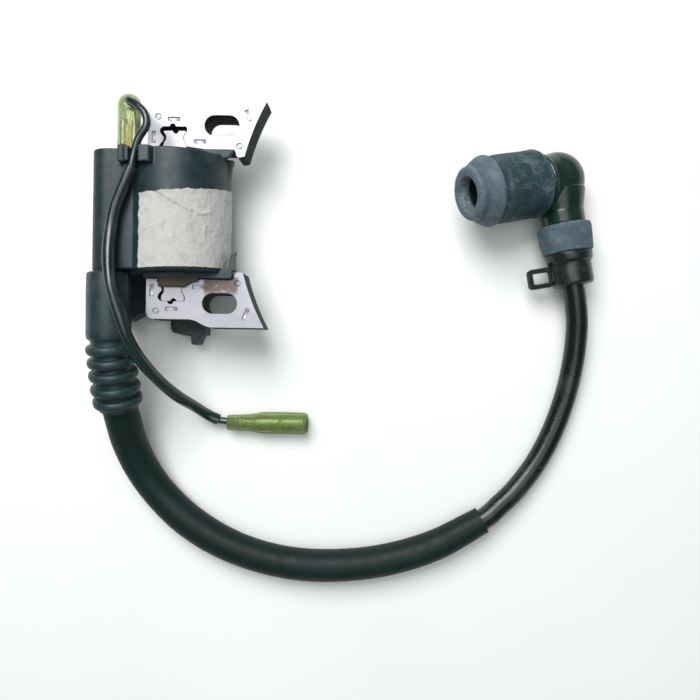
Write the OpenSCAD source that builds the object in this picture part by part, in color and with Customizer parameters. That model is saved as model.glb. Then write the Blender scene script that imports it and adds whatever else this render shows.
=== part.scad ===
// Flywheel-magneto ignition coil for a small single-cylinder engine.
// Frame: the origin is midway between the two bolt slots, on the rear (mounting) face of the core.
// +X points to the flywheel, +Y runs along the row of slots, +Z runs from the engine to the front.
// The coil lies on its back, on the plane z = bench_z, with its leads laid out on that plane.

/* [Core] */
// Thickness of the lamination stack
stack_t = 10; // [8:0.5:10]
// Distance between the centres of the two bolt slots
slot_pitch = 56.8; // [56:0.2:58]
// Width of a bolt slot
slot_w = 6.6; // [6:0.1:7]
// End-to-end length of a bolt slot
slot_len = 11.2; // [10:0.2:12]
// Radius of the flywheel that the pole shoes face
flywheel_r = 75; // [72:0.5:80]
// Width of the centre bar
bar_w = 7.4; // [6.6:0.1:7.6]

/* [Housing] */
// Outer radius of the coil housing
housing_r = 16.8; // [16.8:0.1:17.1]
// Wall thickness of the coil housing
housing_wall = 1.8; // [1.4:0.1:1.8]
// Outer radius of the tower that holds the high-tension lead
tower_r = 5.3; // [5.3:0.1:5.8]

/* [Label] */
// Length of the paper label along the housing
label_len = 23.8; // [18:0.2:24]
// Thickness of the paper label
label_t = 0.25; // [0.2:0.05:0.3]

/* [High-tension lead] */
// Diameter of the high-tension lead
lead_d = 7.4; // [7:0.1:7.4]
// Outer diameter of the sleeve over the lead
sleeve_d = 11.2; // [10.8:0.1:11.2]
// Outer radius of the rubber boot's collar
boot_r = 6.7; // [6.5:0.1:6.9]

/* [Plug cap] */
// Angle of the cap's nose above the bench
nose_tilt = 23; // [21:1:25]
// Outer radius of the rubber boot on the nose
nose_r = 11; // [10.8:0.1:11.2]
// Radius of the bore that grips the spark plug's insulator
plug_bore_r = 5.2; // [5:0.1:5.6]

/* [Stop wire] */
// Diameter of the stop wire
wire_d = 2.4; // [2:0.1:2.4]
// Outer diameter of the vinyl tube over the stop wire
tube_d = 3.9; // [3.8:0.1:4.1]
// Outer radius of the sleeve over the bullet connector
bullet_sleeve_r = 3.8; // [3.6:0.1:3.8]

/* [Hidden] */

$fn = 64;
eps = 0.01;
gap = 0.3;

bench_z = -12.5;
mid_z = stack_t / 2;

bar_x = -15;
barrel_x = -15.1;
barrel_z = 4.5;
bar_top = 26.5;
bar_bottom = -27.8;
pocket_end = 27.9;
waist_y = 24.2;
shoulder_y = 25.7;
neck_w = bar_w + 2.4;
neck_t = stack_t + 2.4;
flap_end = 23.3;
leg_inner = 20.8;
leg_outer = 33.6;
shoe_outer = 36.1;
leg_left = -23.5;
flywheel_x = 80;

housing_y0 = -18.7;
housing_y1 = 18.5;
plate_x0 = -24;
upper_plate_x1 = -1.5;
cover_plate_x1 = 3.9;
lip_x1 = 4.2;
hook_x1 = 5.3;
plate_z0 = -5;
plate_z1 = 11.5;
plate_end = leg_inner - gap;

tower_x = -34;
tower_z = 12.8;
tower_top = tower_z + tower_r;
web_x0 = tower_x - tower_r;
spigot_r = 5;
spigot_end = -34;
groove_x = -25.6;
lead_start = -9.5;

clip_x = -24.2;
clip_y0 = 13.3;
clip_gap = wire_d + 0.8;

blade_x = -28;
blade_z = 14.4;
term_y0 = 18.6;
term_end = 36.4;
term_r = 3.55;

bullet_y = -67.7;
bullet_z = bench_z + bullet_sleeve_r;
bullet_x0 = -0.8;
bullet_x1 = 26.7;

// The cap turns on the lead about this line: through cap_at, turned cap_yaw from the Y axis.
cap_at = [109.8, 15.7, -3.1];
cap_yaw = 10;
nose_yaw = 14.6;
nose_end = 35.2;
tube_end = 28;
leg_end = 35.8;
collar_end = 24.8;
lead_stop = 13.6;

// Route of the high-tension lead, from inside the tower to inside the plug cap.
lead_route = [
    [-34, -9.5, 12.8], [-34, -22, 12.8], [-34, -33, 12.8], [-33.9, -40, 12.6],
    [-33.7, -46.5, 11.2], [-33.5, -53, 9.2], [-33.1, -59.5, 6.8], [-32.4, -66.5, 3.4],
    [-31.4, -74.4, -0.6],
    [-28.1, -83.8, -4.4], [-21.9, -93, -6.5], [-12.7, -101.6, -6.9], [-1, -108.6, -6.9],
    [12, -113.3, -6.9], [26, -115.7, -6.9], [41, -115.6, -6.9], [56, -113.3, -6.9],
    [71.5, -108.2, -6.9], [87, -99.6, -6.9], [93.2, -94.3, -7.3], [98.8, -88.8, -8],
    [105.5, -79.8, -8.6], [111, -69, -8.8], [115, -57.5, -8.7], [117.4, -45.5, -7.6],
    [118, -33.5, -5.4], [117, -24.8, -3.8], [115.9, -19.2, -3.1], [114.1, -8.9, -3.1],
    [112.2, 1.9, -3.1]];
sleeve_first = 6;
sleeve_last = 18;

// Route of the stop wire, from the flag terminal to the bullet connector.
wire_route = [
    [-27.7, 33.6, 16.2], [-26.7, 33, 18.9], [-23.7, 31, 20.6], [-20.9, 28, 21.4],
    [-20.4, 24.4, 21.6], [-22.8, 20.6, 21.3], [-24.1, 16.3, 21.1], [-25, 12, 21.2],
    [-27, 7, 21], [-29.7, 0, 20.9], [-31, -8, 21], [-31.1, -16, 22.1],
    [-30, -24, 22.9], [-27.9, -31.5, 22.5], [-25.9, -39, 20.6], [-23.2, -46, 16.8],
    [-19.2, -52.8, 10.6], [-15, -58.2, 3.2], [-11.3, -61.7, -3.2], [-8.3, -64.4, -6.9],
    [-6.2, -65.8, -8.1], [-3.8, -66.9, -8.6], [3, -67.7, -8.7]];
tube_first = 7;
tube_last = 21;

copper = [0.62, 0.33, 0.16];
black = [0.06, 0.07, 0.07];
steel = [0.74, 0.74, 0.78];
brass = [0.80, 0.65, 0.30];
clear_green = [0.55, 0.62, 0.30];
slate = [0.25, 0.31, 0.35];

// ---- helpers ----

// Cylinder along the Y axis, from y0 to y1.
module y_rod(r, y0, y1, x = 0, z = 0) {
    translate([x, y1, z])
        rotate([90, 0, 0])
            cylinder(r = r, h = y1 - y0);
}

// Tube along the Y axis, from y0 to y1.
module y_tube(r_out, r_in, y0, y1, x = 0, z = 0) {
    difference() {
        y_rod(r_out, y0, y1, x, z);
        y_rod(r_in, y0 - 1, y1 + 1, x, z);
    }
}

// Cylinder along the X axis, from x0 to x1.
module x_rod(r, x0, x1, y = 0, z = 0) {
    translate([x0, y, z])
        rotate([0, 90, 0])
            cylinder(r = r, h = x1 - x0);
}

// Box between two corners.
module block(low, high) {
    translate(low)
        cube(high - low);
}

function unit(v) = v / norm(v);

// Direction of a route at its point i.
function heading(route, i) =
    unit(route[min(i + 1, len(route) - 1)] - route[max(i - 1, 0)]);

// Ring of n points of radius r about a centre, square to a direction.
function ring(centre, along, side_hint, r, n) =
    let (u = unit(cross(side_hint, along)), v = cross(along, u))
    [for (k = [0:n - 1]) centre + r * (cos(360 * k / n) * u + sin(360 * k / n) * v)];

// Rings of a route from its point first to its point last.
function rings(route, first, last, side_hint, r, n) =
    [for (i = [first:last]) ring(route[i], heading(route, i), side_hint, r, n)];

// Skin over a list of rings, closed with a flat cap at each end.
module solid_loft(loops) {
    n = len(loops[0]);
    m = len(loops);
    sides = [for (i = [0:m - 2]) for (k = [0:n - 1])
        let (a = i * n + k, b = i * n + (k + 1) % n)
        each [[a, b, a + n], [b, b + n, a + n]]];
    first_cap = [[for (k = [0:n - 1]) n - 1 - k]];
    last_cap = [[for (k = [0:n - 1]) (m - 1) * n + k]];
    polyhedron(points = [for (loop = loops) each loop], faces = concat(sides, first_cap, last_cap));
}

// Skin over a list of rings that joins its last ring to its first.
module hollow_loft(loops) {
    n = len(loops[0]);
    m = len(loops);
    polyhedron(
        points = [for (loop = loops) each loop],
        faces = [for (i = [0:m - 1]) for (k = [0:n - 1])
            let (j = (i + 1) % m, a = i * n + k, b = i * n + (k + 1) % n)
            each [[a, b, j * n + k], [b, j * n + (k + 1) % n, j * n + k]]]);
}

function reversed(list) = [for (i = [len(list) - 1:-1:0]) list[i]];

// Frame of the plug cap: its leg points along -Y, from the elbow to the lead.
module at_cap() {
    translate(cap_at)
        rotate([0, 0, cap_yaw])
            children();
}

// Frame of the nose: +Z runs out along it, from the elbow to the spark plug.
module at_nose() {
    translate(cap_at)
        rotate([0, nose_tilt - 90, nose_yaw])
            children();
}

// ---- core ----

// Outline of the bar's waisted upper end, left side first, grown by a margin on each side.
function dovetail(grow_left, grow_right, top) =
    let (left = bar_x - bar_w / 2 - grow_left, right = bar_x + bar_w / 2 + grow_right)
    [[left, 21.6], [left + 0.9, waist_y], [left - 0.2, shoulder_y], [left + 0.4, top],
        [right - 0.4, top], [right + 0.2, shoulder_y], [right - 0.9, waist_y], [right, 21.6]];

// Outline of the upper leg with its pole shoe, bolt slot and dovetail pocket.
module leg_2d() {
    difference() {
        polygon([
            [leg_left, leg_inner], [leg_left, leg_outer - 2], [leg_left + 0.6, leg_outer - 0.6],
            [leg_left + 2, leg_outer], [-9.5, leg_outer], [-7.6, leg_outer + 0.5],
            [-4.8, shoe_outer - 0.5], [-3, shoe_outer], [20, shoe_outer], [20, 18], [6.2, 18],
            [5.3, 18.3], [4.7, 19], [4.5, 19.9], [4.2, 20.5], [3.6, leg_inner]]);
        translate([flywheel_x, 0])
            circle(r = flywheel_r, $fn = 256);
        polygon(concat([[bar_x - bar_w / 2 - 0.7, 0]], dovetail(0.7, 0.08, pocket_end),
            [[bar_x + bar_w / 2 + 0.08, 0]]));
        translate([bar_x, pocket_end])
            circle(r = 0.9, $fn = 24);
        polygon([[-18.8, leg_inner - 1], [-18.8, 23], [-11.5, 23], [-5.5, leg_inner - eps],
            [-5.5, leg_inner - 1]]);
        for (side = [-1, 1])
            translate([side * (slot_len - slot_w) / 2, slot_pitch / 2])
                circle(r = slot_w / 2);
        translate([-(slot_len - slot_w) / 2, (slot_pitch - slot_w) / 2])
            square([slot_len - slot_w, slot_w]);
    }
}

module core_upper_leg() {
    color(steel)
        linear_extrude(stack_t)
            leg_2d();
}

module core_lower_leg() {
    color(steel)
        mirror([0, 1, 0])
            linear_extrude(stack_t)
                leg_2d();
}

module core_bar() {
    lower = dovetail(0, 0, -bar_bottom);
    color(steel)
        linear_extrude(stack_t)
            polygon(concat(dovetail(0, 0, bar_top), reversed([for (p = lower) [p[0], -p[1]]])));
}

// ---- windings ----

module primary_bobbin() {
    reach = leg_inner - gap + 0.1;
    color([0.36, 0.25, 0.17])
        difference() {
            union() {
                y_rod(7.5, -16, 16, barrel_x, barrel_z);
                for (y = [-16, 15])
                    y_rod(10.1, y, y + 1, barrel_x, barrel_z);
                block([bar_x - neck_w / 2, -reach, mid_z - neck_t / 2],
                    [bar_x + neck_w / 2, reach, mid_z + neck_t / 2]);
                block([-19.5, -flap_end, stack_t + 0.15], [-11, -reach + 1, mid_z + neck_t / 2]);
            }
            block([bar_x - bar_w / 2 - 0.15, -reach - 1, -0.15],
                [bar_x + bar_w / 2 + 0.15, reach + 1, stack_t + 0.15]);
        }
}

module primary_winding() {
    color(copper)
        difference() {
            y_rod(9.9, -14.8, 14.8, barrel_x, barrel_z);
            y_rod(7.6, -16, 16, barrel_x, barrel_z);
            neck_hole(-16, 16);
        }
}

// Chambers of the secondary bobbin.
chambers = 5;
chamber_pitch = 5.8;

module secondary_bobbin() {
    half = chambers * chamber_pitch / 2;
    color([0.20, 0.20, 0.19]) {
        y_tube(11.3, 10.4, -half, half + 0.8, barrel_x, barrel_z);
        for (i = [0:chambers])
            y_tube(14, 10.4, i * chamber_pitch - half, i * chamber_pitch - half + 0.8,
                barrel_x, barrel_z);
    }
}

module secondary_winding() {
    half = chambers * chamber_pitch / 2;
    color(copper)
        for (i = [0:chambers - 1])
            y_tube(13.6, 11.4, i * chamber_pitch - half + 0.9, (i + 1) * chamber_pitch - half - 0.1,
                barrel_x, barrel_z);
}

module potting() {
    bore = housing_r - housing_wall - 0.1;
    color([0.28, 0.19, 0.12])
        difference() {
            y_rod(bore, -17.2, 16, barrel_x, barrel_z);
            y_rod(14.1, -16.1, 17, barrel_x, barrel_z);
            neck_hole(-18, 17);
        }
}

// ---- housing ----

// Hole that a bobbin neck passes through.
module neck_hole(y0, y1) {
    block([bar_x - neck_w / 2 - 0.1, y0, mid_z - neck_t / 2 - 0.1],
        [bar_x + neck_w / 2 + 0.1, y1, mid_z + neck_t / 2 + 0.1]);
}

// Pair of jaws that hold the stop wire on the front of the housing.
module wire_clip() {
    block([-28.9, clip_y0, 15], [clip_x - clip_gap / 2, housing_y1, 22.4]);
    block([clip_x + clip_gap / 2, clip_y0, 15], [-18.6, housing_y1, 22.8]);
}

// Groove along the housing, between the barrel and the flat top of the tower.
module wire_groove() {
    translate([0, clip_y0, 0])
        rotate([90, 0, 0])
            linear_extrude(clip_y0 - housing_y0 + 1)
                polygon([[groove_x, 16.6], [groove_x + 2.8, 18.6], [groove_x + 2.8, 25],
                    [groove_x, 25]]);
}

// Web behind the lower leg, with its locating nub.
module rear_web() {
    translate([0, 0, bench_z])
        linear_extrude(7.1) {
            polygon([[web_x0, -15.6], [web_x0, -31], [web_x0 + 1.6, -33.4], [-34, -33.4], [-30, -31],
                [-20, -31], [-20, -36.8], [-18.6, -38], [-8, -38], [-8, -33], [-9, -15.6]]);
            polygon([[-13, -37], [-13, -40.8], [-12.5, -41.3], [-11, -41.3], [-10.5, -40.8], [-8, -37]]);
        }
}

module housing() {
    bore = housing_r - housing_wall;
    color(black)
        difference() {
            union() {
                y_rod(housing_r, housing_y0, housing_y1, barrel_x, barrel_z);
                y_rod(tower_r, housing_y0, housing_y1, tower_x, tower_z);
                y_rod(spigot_r, spigot_end, housing_y0 + 1, tower_x, tower_z);
                block([tower_x, housing_y0, 5], [groove_x, housing_y1, tower_top]);
                block([plate_x0, housing_y1 - 1, plate_z0], [upper_plate_x1, plate_end, plate_z1]);
                block([-2.5, housing_y1 - 0.8, stack_t + gap], [lip_x1, plate_end, plate_z1]);
                block([web_x0, housing_y0, bench_z], [-20, -15.5, tower_z]);
                wire_clip();
                rear_web();
            }
            y_rod(bore, housing_y0 - 1, 16.2, barrel_x, barrel_z);
            neck_hole(10, 30);
            y_rod(4.4, -3, 16.4, tower_x, tower_z);
            wire_groove();
            y_rod(lead_d / 2 + 0.2, spigot_end - 1, lead_start, tower_x, tower_z);
            y_rod(1.3, -20, 0, tower_x, tower_z);
            block([blade_x - 3, 16.3, blade_z - 0.5], [blade_x + 3, 30, blade_z + 0.5]);
        }
}

module end_cover() {
    color(black)
        difference() {
            union() {
                y_rod(housing_r - housing_wall - 0.1, -18.6, -17.3, barrel_x, barrel_z);
                block([plate_x0, -plate_end, plate_z0], [cover_plate_x1, housing_y0 - 0.05, plate_z1]);
                block([0, -plate_end, stack_t + gap], [lip_x1, housing_y0 - 0.05, plate_z1]);
                y_rod(14.5, housing_y0 - 0.1, housing_y0 + 0.3, barrel_x, barrel_z);
                block([3.1, -plate_end, 7], [cover_plate_x1, -12.2, 10]);
                block([3.1, -17.6, 9], [hook_x1, -12.2, 10]);
                block([3.1, -18.1, 9], [hook_x1, -16.5, plate_z1]);
            }
            neck_hole(-30, -10);
        }
}

module label() {
    color([0.80, 0.80, 0.77])
        translate([barrel_x, -18.3 + label_len, barrel_z])
            rotate([90, 0, 0])
                rotate([0, 0, -25])
                    rotate_extrude(angle = 142)
                        translate([housing_r + 0.02, 0])
                            square([label_t, label_len]);
}

module trigger_module() {
    color([0.16, 0.17, 0.18])
        block([tower_x - 3, -2.2, tower_z - 2.4], [tower_x + 3, 15.6, tower_z + 2.4]);
}

module ht_spike() {
    color(brass) {
        y_rod(1.2, lead_start + 0.1, -2.8, tower_x, tower_z);
        y_rod(3, -2.9, -2.3, tower_x, tower_z);
    }
}

module stop_blade() {
    color(brass)
        block([blade_x - 2.9, 16.4, blade_z - 0.4], [blade_x + 2.9, 27, blade_z + 0.4]);
}

// ---- stop wire ----

module flag_terminal() {
    color(steel)
        difference() {
            union() {
                block([blade_x - 2.75, 20.4, blade_z - 1.2], [blade_x + 2.75, 28.6, blade_z + 1.2]);
                block([blade_x - 2, 28.4, blade_z - 1.2], [blade_x + 2, 34.6, blade_z - 0.5]);
                translate([wire_route[0][0], wire_route[0][1], blade_z - 1.2])
                    cylinder(r = 1.9, h = 2.8);
            }
            block([blade_x - 3.2, 15, blade_z - 0.45], [blade_x + 3.2, 27.1, blade_z + 0.45]);
        }
}

module terminal_sleeve() {
    wall = 0.45;
    color(clear_green)
        difference() {
            union() {
                y_rod(term_r, term_y0, term_end - term_r, blade_x, blade_z);
                translate([blade_x, term_end - term_r, blade_z])
                    sphere(r = term_r);
            }
            y_rod(term_r - wall, term_y0 - 1, term_end - term_r, blade_x, blade_z);
            translate([blade_x, term_end - term_r, blade_z])
                sphere(r = term_r - wall);
            translate([wire_route[0][0] + 0.7, wire_route[0][1] - 0.3, blade_z])
                cylinder(r = 2.1, h = 9);
        }
}

wire_hint = [-0.6, 0, 0.8];

module stop_wire() {
    color(black)
        solid_loft(rings(wire_route, 0, len(wire_route) - 1, wire_hint, wire_d / 2, 8));
}

module stop_wire_tube() {
    color(black)
        hollow_loft(concat(
            rings(wire_route, tube_first, tube_last, wire_hint, tube_d / 2, 8),
            reversed(rings(wire_route, tube_first, tube_last, wire_hint, wire_d / 2 + 0.3, 8))));
}

module bullet_receptacle() {
    color(steel)
        difference() {
            union() {
                x_rod(2, 3.1, 9, bullet_y, bullet_z);
                x_rod(2.75, 9, 25.2, bullet_y, bullet_z);
            }
            x_rod(2, 12, 30, bullet_y, bullet_z);
        }
}

module bullet_sleeve() {
    bore = 2.9;
    color(clear_green)
        translate([0, bullet_y, bullet_z])
            rotate([90, 0, 90])
                rotate_extrude()
                    polygon([[1.95, bullet_x0], [2.7, bullet_x0], [2.8, 7.6], [bullet_sleeve_r - 0.1, 10.8],
                        [bullet_sleeve_r, 12.5], [bullet_sleeve_r, 25.2], [bullet_sleeve_r - 0.3, 26.2],
                        [3.3, bullet_x1], [bore, bullet_x1], [bore, 8.9], [2.15, 8.6], [2.15, 2.8],
                        [1.95, 2.4]]);
}

// ---- high-tension lead ----

lead_hint = [0, 0, 1];

module ht_lead() {
    color(black)
        solid_loft(rings(lead_route, 0, len(lead_route) - 1, lead_hint, lead_d / 2, 12));
}

module lead_sleeve() {
    color([0.12, 0.16, 0.18])
        hollow_loft(concat(
            rings(lead_route, sleeve_first, sleeve_last, lead_hint, sleeve_d / 2, 12),
            reversed(rings(lead_route, sleeve_first, sleeve_last, lead_hint, lead_d / 2 + 0.35, 12))));
}

// Centre line of the lead's boot: straight off the tower, then drooping under the lead's weight.
function boot_point(y) = [tower_x + 0.045 * max(0, y - 40), -y,
    tower_z - 0.0834 * pow(max(0, y - 38), 1.395)];
function boot_along(y) = unit(boot_point(y + 0.5) - boot_point(y - 0.5));
function boot_ring(y, r) = ring(boot_point(y), boot_along(y), [0, 0, 1], r, 24);

// Distance from the slots' middle and radius of each rib.
ribs = [[43.2, 7.5], [47.2, 7.6], [51.2, 7.7], [55.6, 7.8], [59.6, 7.8]];
boot_y0 = 19.5;
boot_y1 = 62;
mouth_r = sleeve_d / 2 + 0.4;

module lead_boot() {
    outer = concat(
        [[boot_y0, boot_r - 0.6], [boot_y0 + 0.7, boot_r], [39.6, boot_r], [40.3, boot_r - 0.6],
            [40.6, 5.9], [42.2, 5.9]],
        [for (rib = ribs) each [[rib[0] - 0.7, rib[1]], [rib[0] + 0.7, rib[1]],
            [rib[0] + 1.8, rib[1] - 1.1], [rib[0] + 2.3, rib[1] - 1.1]]],
        [[boot_y1, mouth_r + 0.3]]);
    inner = [[boot_y1, mouth_r], [57.6, mouth_r], [56.8, 4.4], [50, 4.4], [44, 4.4], [34.6, 4.4],
        [34.3, spigot_r + 0.1], [boot_y0, spigot_r + 0.1]];
    color(black)
        hollow_loft([for (p = concat(outer, inner)) boot_ring(p[0], p[1])]);
}

// ---- plug cap ----

module cap_body() {
    color(black)
        difference() {
            union() {
                at_cap() {
                    sphere(r = 9.4);
                    y_rod(6.4, -30, 0);
                }
                at_nose()
                    cylinder(r = 9, h = tube_end);
            }
            at_nose() {
                translate([0, 0, 17])
                    cylinder(r = 6.2, h = 20);
                translate([0, 0, 3.8])
                    cylinder(r = 2.5, h = 20);
            }
            at_cap() {
                y_rod(lead_d / 2 + 0.25, -31, -lead_stop + 0.3);
                y_rod(1.3, -20, -4.5);
            }
        }
}

module cap_collar() {
    color(slate)
        at_cap()
            rotate([90, 0, 0])
                rotate_extrude()
                    polygon([[6.5, 15.4], [8.5, 15.4], [8.9, 16.2], [8.9, 18], [8.5, 24], [8.1, collar_end],
                        [6.5, collar_end]]);
}

module cap_end_seal() {
    color(black)
        at_cap() {
            rotate([90, 0, 0])
                rotate_extrude()
                    polygon([[6.5, collar_end + 0.1], [8, collar_end + 0.1], [7.7, 27.6], [7, 28.4],
                        [7, 34.8], [6.6, leg_end],
                        [lead_d / 2 + 0.2, leg_end], [lead_d / 2 + 0.2, 30.2], [6.5, 30.2]]);
            difference() {
                block([-14.6, -35, -2.2], [-6.2, -28.4, 1]);
                block([-13, -33.6, -3], [-7.6, -29.8, 2]);
            }
        }
}

module cap_contact_screw() {
    color(brass)
        at_cap()
            y_rod(1.2, -lead_stop, -4.6);
}

module cap_resistor() {
    color([0.75, 0.72, 0.66])
        at_nose()
            translate([0, 0, 3.9])
                cylinder(r = 2.4, h = 9);
}

spring_turns = 3;
spring_steps = 10;

module cap_spring() {
    turns = [for (i = [0:spring_turns * spring_steps])
        let (a = 360 * i / spring_steps)
        [1.8 * cos(a), 1.8 * sin(a), 13.5 + 3.4 * i / (spring_turns * spring_steps)]];
    color(steel)
        at_nose()
            solid_loft(rings(turns, 0, len(turns) - 1, [0, 0, 1], 0.25, 6));
}

module plug_terminal() {
    color(brass)
        at_nose()
            translate([0, 0, 17.4])
                difference() {
                    cylinder(r = 4.4, h = 8.4);
                    translate([0, 0, 1])
                        cylinder(r = 3.3, h = 10);
                }
}

module nose_boot() {
    color(slate)
        at_nose()
            rotate_extrude()
                polygon([[9.1, 8.9], [nose_r - 0.6, 8.9], [nose_r + 0.2, 10], [nose_r, 12], [nose_r, 25],
                    [nose_r - 0.5, 26.6], [nose_r + 0.3, 28.2], [nose_r + 0.3, 29.2],
                    [nose_r - 0.5, 30.6], [9.5, 32.2], [8.8, 33.2], [8.7, 34.4], [8, nose_end],
                    [plug_bore_r, nose_end],
                    [plug_bore_r, tube_end + 0.1], [9.1, tube_end + 0.1]]);
}

core_upper_leg();
core_lower_leg();
core_bar();
primary_bobbin();
primary_winding();
secondary_bobbin();
secondary_winding();
potting();
housing();
end_cover();
label();
trigger_module();
ht_spike();
stop_blade();
flag_terminal();
terminal_sleeve();
stop_wire();
stop_wire_tube();
bullet_receptacle();
bullet_sleeve();
lead_boot();
ht_lead();
lead_sleeve();
cap_body();
cap_collar();
cap_end_seal();
cap_contact_screw();
cap_resistor();
cap_spring();
plug_terminal();
nose_boot();
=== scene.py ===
"""Looks of a flywheel-magneto ignition coil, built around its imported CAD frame.

Shapes are drawn in millimetres in the part's own frame and turned into metres as meshes are made.
+X points to the flywheel, +Y along the row of bolt slots, +Z from the engine to the front.
"""
import random
from math import cos, exp, pi, radians, sin, sqrt

import bmesh
import bpy
from mathutils import Matrix, Vector, noise


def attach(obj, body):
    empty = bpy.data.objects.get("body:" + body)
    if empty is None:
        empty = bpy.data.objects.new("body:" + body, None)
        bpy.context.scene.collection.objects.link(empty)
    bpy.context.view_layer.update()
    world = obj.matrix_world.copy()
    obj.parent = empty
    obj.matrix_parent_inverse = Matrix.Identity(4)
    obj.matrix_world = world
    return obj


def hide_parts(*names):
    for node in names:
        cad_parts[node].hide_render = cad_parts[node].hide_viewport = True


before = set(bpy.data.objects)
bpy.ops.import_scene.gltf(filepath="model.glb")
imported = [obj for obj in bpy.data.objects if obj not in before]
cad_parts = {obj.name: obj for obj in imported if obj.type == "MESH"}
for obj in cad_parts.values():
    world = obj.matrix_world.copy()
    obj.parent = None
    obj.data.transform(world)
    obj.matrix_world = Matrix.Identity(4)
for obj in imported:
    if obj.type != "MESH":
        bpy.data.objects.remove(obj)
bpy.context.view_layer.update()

MM = 0.001
BENCH_Z = -12.5

# ---- camera, lights and floor ----

camera_data = bpy.data.cameras.new("camera")
camera_data.sensor_width = 36
camera_data.lens = 38.31
camera_data.shift_x = -0.05
camera_data.shift_y = 0.0214
camera = bpy.data.objects.new("camera", camera_data)
camera.location = (0.05306, -0.04719, 0.2475)
camera.rotation_euler = (0, 0, radians(0.84))
bpy.context.collection.objects.link(camera)
bpy.context.scene.camera = camera


def area_light(name, location, target, size, power):
    """A square soft light aimed at a point, in metres."""
    data = bpy.data.lights.new(name, "AREA")
    data.size = size
    data.energy = power
    light = bpy.data.objects.new(name, data)
    light.location = location
    light.rotation_euler = (Vector(target) - Vector(location)).to_track_quat("-Z", "Y").to_euler()
    bpy.context.collection.objects.link(light)


area_light("key", (-0.12, 0.34, 0.62), (0.03, -0.03, 0), 0.45, 5.6)
area_light("fill", (0.1, -0.1, 0.9), (0.04, -0.03, 0), 0.7, 2.6)

bpy.context.scene.view_settings.view_transform = "Standard"
world = bpy.data.worlds.new("studio")
bpy.context.scene.world = world
world.use_nodes = True
world.node_tree.nodes["Background"].inputs["Color"].default_value = (0.86, 0.95, 0.92, 1)
world.node_tree.nodes["Background"].inputs["Strength"].default_value = 0.22


# ---- places and sizes, as in the CAD design ----

STACK_T = 10
# Where the laminated legs start, beside the housing, and the housing's plates against them.
LEG_Y = 20.8
PLATE_X = -24
PLATE_Y = 20.5
PLATE_Z = (-5, 11.5)
# Front of the core, with the gap that the plates' lips leave.
LIP_Z = (10.3, 11.5)
# Barrel and tower: centres as (x, z), radii, and the barrel's two ends.
BARREL = (-15.1, 4.5)
BARREL_R = 16.8
BARREL_Y = (-18.7, 18.5)
WALL = 1.8
TOWER = (-34, 12.8)
TOWER_R = 5.3
WEB_X = TOWER[0] - TOWER_R
TOWER_TOP = TOWER[1] + TOWER_R
SPIGOT_END = -34
CLIP_Y = 13.3
# Centres of the stop blade as (x, z) and of the bullet receptacle as (y, z).
BLADE = (-28, 14.4)
BULLET = (-67.7, -8.7)
LEAD_R = 3.7
WIRE_R = 1.2
WIRE_HINT = (-0.6, 0, 0.8)

# The cap's elbow, and the frames whose Z axes run down its leg and out along its nose.
CAP_AT = Vector((109.8, 15.7, -3.1))
CAP_YAW = radians(10)
NOSE_YAW = radians(14.6)
NOSE_TILT = radians(23)
QUARTER = radians(90)
CAP = Matrix.Translation(CAP_AT) @ Matrix.Rotation(CAP_YAW, 4, "Z")
LEG = CAP @ Matrix.Rotation(QUARTER, 4, "X")
NOSE = (Matrix.Translation(CAP_AT) @ Matrix.Rotation(NOSE_YAW, 4, "Z")
        @ Matrix.Rotation(NOSE_TILT - QUARTER, 4, "Y"))
NOSE_AXIS = NOSE.col[2].xyz

LEAD_ROUTE = [
    (-34, -9.5, 12.8), (-34, -22, 12.8), (-34, -33, 12.8), (-33.9, -40, 12.6),
    (-33.7, -46.5, 11.2), (-33.5, -53, 9.2), (-33.1, -59.5, 6.8), (-32.4, -66.5, 3.4),
    (-31.4, -74.4, -0.6),
    (-28.1, -83.8, -4.4), (-21.9, -93, -6.5), (-12.7, -101.6, -6.9), (-1, -108.6, -6.9),
    (12, -113.3, -6.9), (26, -115.7, -6.9), (41, -115.6, -6.9), (56, -113.3, -6.9),
    (71.5, -108.2, -6.9), (87, -99.6, -6.9), (93.2, -94.3, -7.3), (98.8, -88.8, -8),
    (105.5, -79.8, -8.6), (111, -69, -8.8), (115, -57.5, -8.7), (117.4, -45.5, -7.6),
    (118, -33.5, -5.4), (117, -24.8, -3.8), (115.9, -19.2, -3.1), (114.1, -8.9, -3.1),
    (112.2, 1.9, -3.1)]
SLEEVE = slice(6, 19)

WIRE_ROUTE = [
    (-27.7, 33.6, 16.2), (-26.7, 33, 18.9), (-23.7, 31, 20.6), (-20.9, 28, 21.4),
    (-20.4, 24.4, 21.6), (-22.8, 20.6, 21.3), (-24.1, 16.3, 21.1), (-25, 12, 21.2),
    (-27, 7, 21), (-29.7, 0, 20.9), (-31, -8, 21), (-31.1, -16, 22.1),
    (-30, -24, 22.9), (-27.9, -31.5, 22.5), (-25.9, -39, 20.6), (-23.2, -46, 16.8),
    (-19.2, -52.8, 10.6), (-15, -58.2, 3.2), (-11.3, -61.7, -3.2), (-8.3, -64.4, -6.9),
    (-6.2, -65.8, -8.1), (-3.8, -66.9, -8.6), (3, -67.7, -8.7)]
TUBE = slice(7, 22)

# ---- materials ----

def linear(colour):
    """Display colour as the scene-linear colour that shaders take."""
    return tuple(c / 12.92 if c < 0.04045 else ((c + 0.055) / 1.055) ** 2.4 for c in colour) + (1,)


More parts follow.
